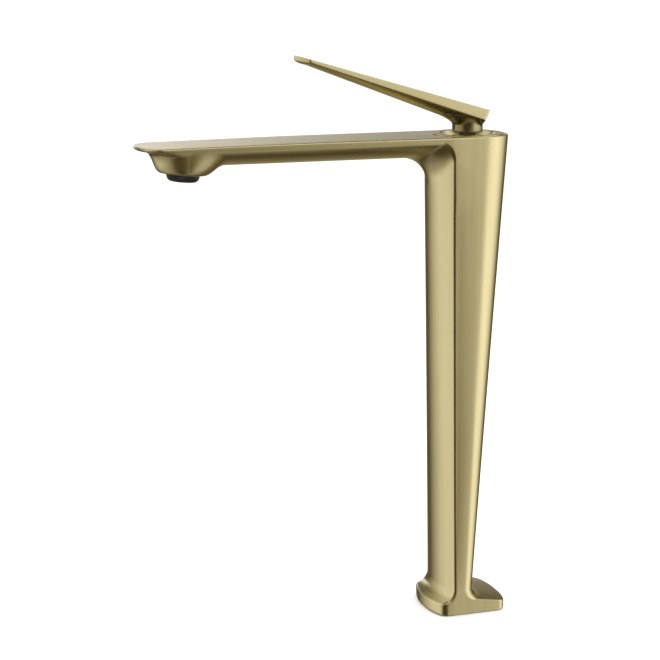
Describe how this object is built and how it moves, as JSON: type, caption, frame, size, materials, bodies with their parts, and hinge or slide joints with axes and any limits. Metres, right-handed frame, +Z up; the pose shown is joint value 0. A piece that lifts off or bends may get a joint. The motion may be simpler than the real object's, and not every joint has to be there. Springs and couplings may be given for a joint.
{
  "type": "basin mixer tap",
  "caption": "Tall single-lever mixer tap for a vessel basin, with a tapered column, flared foot, long flat spout and blade lever.",
  "frame": {"origin": "on the deck plane, under the lever's swivel axis", "axes": "+Z up, -Y towards the spout's outlet, +X to the side"},
  "size_m": [0.048, 0.2405, 0.3644],
  "materials": {
    "brushed_gold": "brushed satin",
    "bare_brass": "machined",
    "steel": "machined",
    "copper": "drawn tube",
    "white_plastic": "moulded",
    "grey_plastic": "moulded",
    "black_plastic": "moulded",
    "ceramic": "lapped",
    "rubber": "moulded"
  },
  "bodies": {
    "body": {"body_casting": "brushed_gold", "base_insert": "bare_brass", "base_insert_screws": "steel", "base_gasket": "rubber", "hot_riser_tube": "copper", "cold_riser_tube": "copper", "riser_o_rings": "rubber", "cartridge_seals": "rubber", "cartridge_base": "white_plastic", "fixed_disc": "ceramic", "cartridge_housing": "white_plastic", "retaining_nut": "bare_brass", "trim_ring": "brushed_gold", "trim_o_ring": "rubber", "aerator_gasket": "rubber", "aerator_housing": "black_plastic", "aerator_core": "grey_plastic", "aerator_filter": "white_plastic", "aerator_screen": "black_plastic"},
    "swivel": {"swivel_guide": "grey_plastic", "glide_ring": "black_plastic", "pivot_pin": "steel"},
    "carrier": {"disc_carrier": "grey_plastic", "moving_disc": "ceramic"},
    "lever": {"lever_handle": "brushed_gold", "spindle": "bare_brass", "set_screw": "steel", "index_plug": "black_plastic"}
  },
  "joints": [
    {"name": "lever_swivel", "type": "hinge", "parent": "body", "child": "swivel", "pos_m": [0, 0, 0.299], "axis": [0, 0, 1], "range_deg": [-45, 45]},
    {"name": "lever_lift", "type": "hinge", "parent": "swivel", "child": "lever", "pos_m": [0, 0, 0.299], "axis": [-1, 0, 0], "range_deg": [0, 22]},
    {"name": "disc_slide", "type": "slide", "parent": "swivel", "child": "carrier", "axis": [0, -1, 0], "range_m": [0, 0.0049]}
  ],
  "couplings": [
    {"joint": "disc_slide", "follows": "lever_lift", "m_per_rad": 0.01265}
  ]
}
